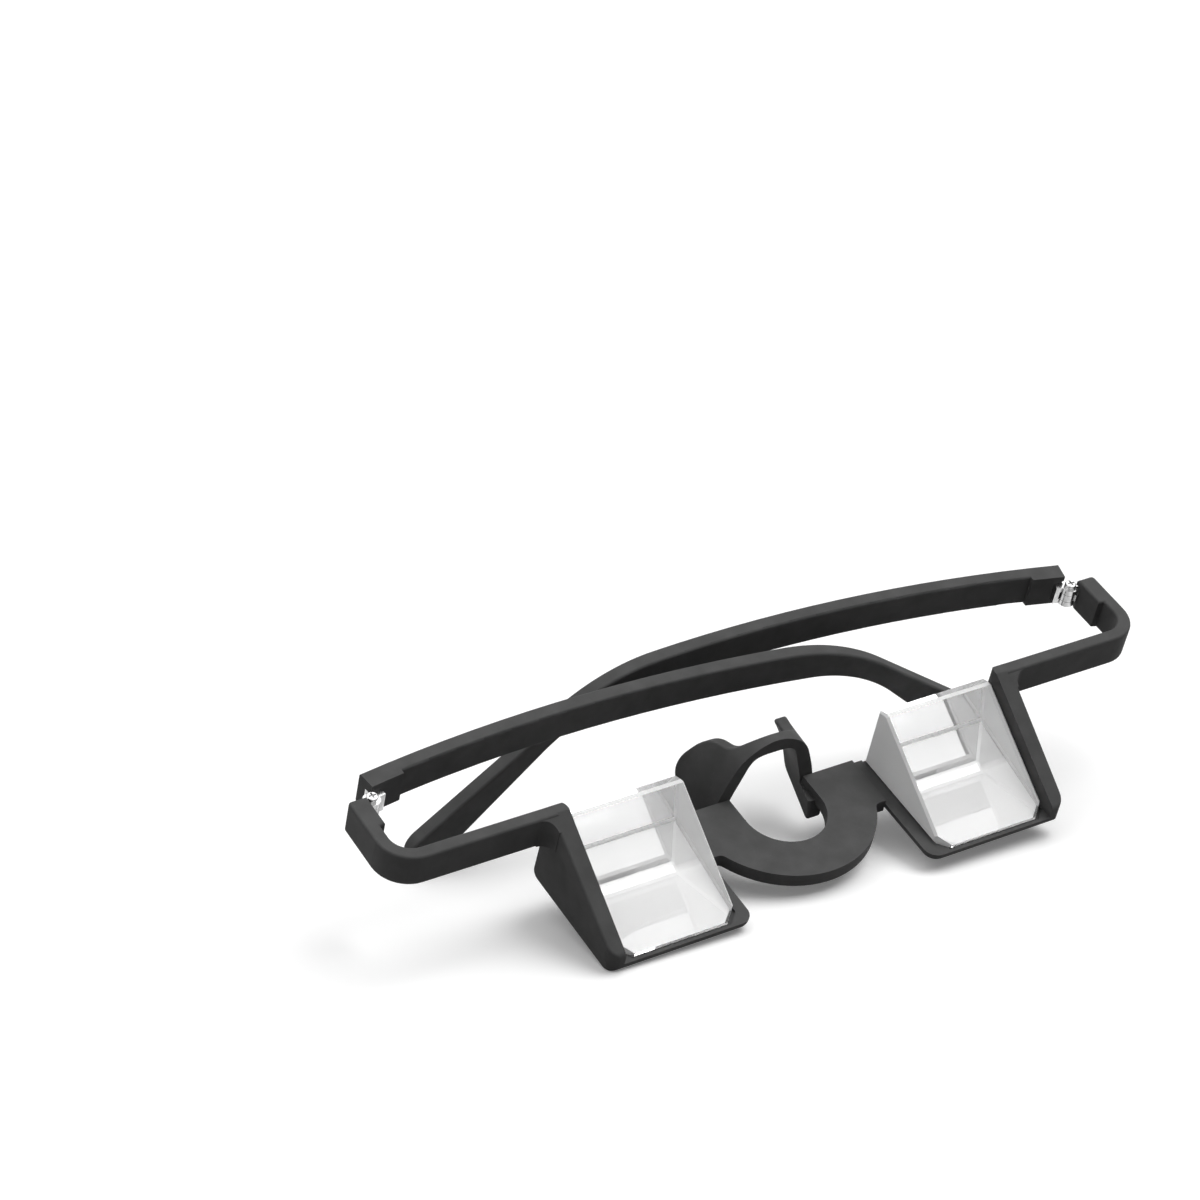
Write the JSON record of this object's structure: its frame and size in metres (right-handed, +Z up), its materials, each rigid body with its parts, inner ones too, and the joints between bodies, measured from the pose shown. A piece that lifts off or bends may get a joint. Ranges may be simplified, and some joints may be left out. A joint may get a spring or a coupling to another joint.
{
  "type": "belay prism glasses",
  "caption": "Folding eyewear with a clear mirrored-bottom prism before each eye, held in trays joined by a bridge with a nose saddle, and bowed temples on screw hinges",
  "frame": {"origin": "on the table, under the centre of the folded glasses' bounding box", "axes": "+X towards the wearer's left, +Y back towards the folded temples, +Z up from the table that the folded glasses lie on"},
  "size_m": [0.1482, 0.0466, 0.0313],
  "materials": {
    "moulded_plastic": "fine matt",
    "clear_glass": "polished",
    "silvering": "silvered and backed",
    "adhesive": "cured adhesive",
    "bright_steel": "bright plated"
  },
  "bodies": {
    "front": {"front_frame": "moulded_plastic", "prism_left": "clear_glass", "prism_mirror_left": "silvering", "prism_bond_left": "adhesive", "hinge_front_left": "bright_steel", "prism_right": "clear_glass", "prism_mirror_right": "silvering", "prism_bond_right": "adhesive", "hinge_front_right": "bright_steel"},
    "temple_left": {"temple_left": "moulded_plastic", "hinge_fork_left": "bright_steel", "hinge_screw_left": "bright_steel"},
    "temple_right": {"temple_right": "moulded_plastic", "hinge_fork_right": "bright_steel", "hinge_screw_right": "bright_steel"}
  },
  "joints": [
    {"name": "temple_left_opens", "type": "hinge", "parent": "front", "child": "temple_left", "pos_m": [0.06932, 0.00813, 0.02638], "axis": [0.0308, 0.2994, -0.9536], "range_deg": [0, 84.7]},
    {"name": "temple_right_opens", "type": "hinge", "parent": "front", "child": "temple_right", "pos_m": [-0.06941, 0.00813, 0.02191], "axis": [-0.0308, -0.2994, 0.9536], "range_deg": [0, 90]}
  ]
}
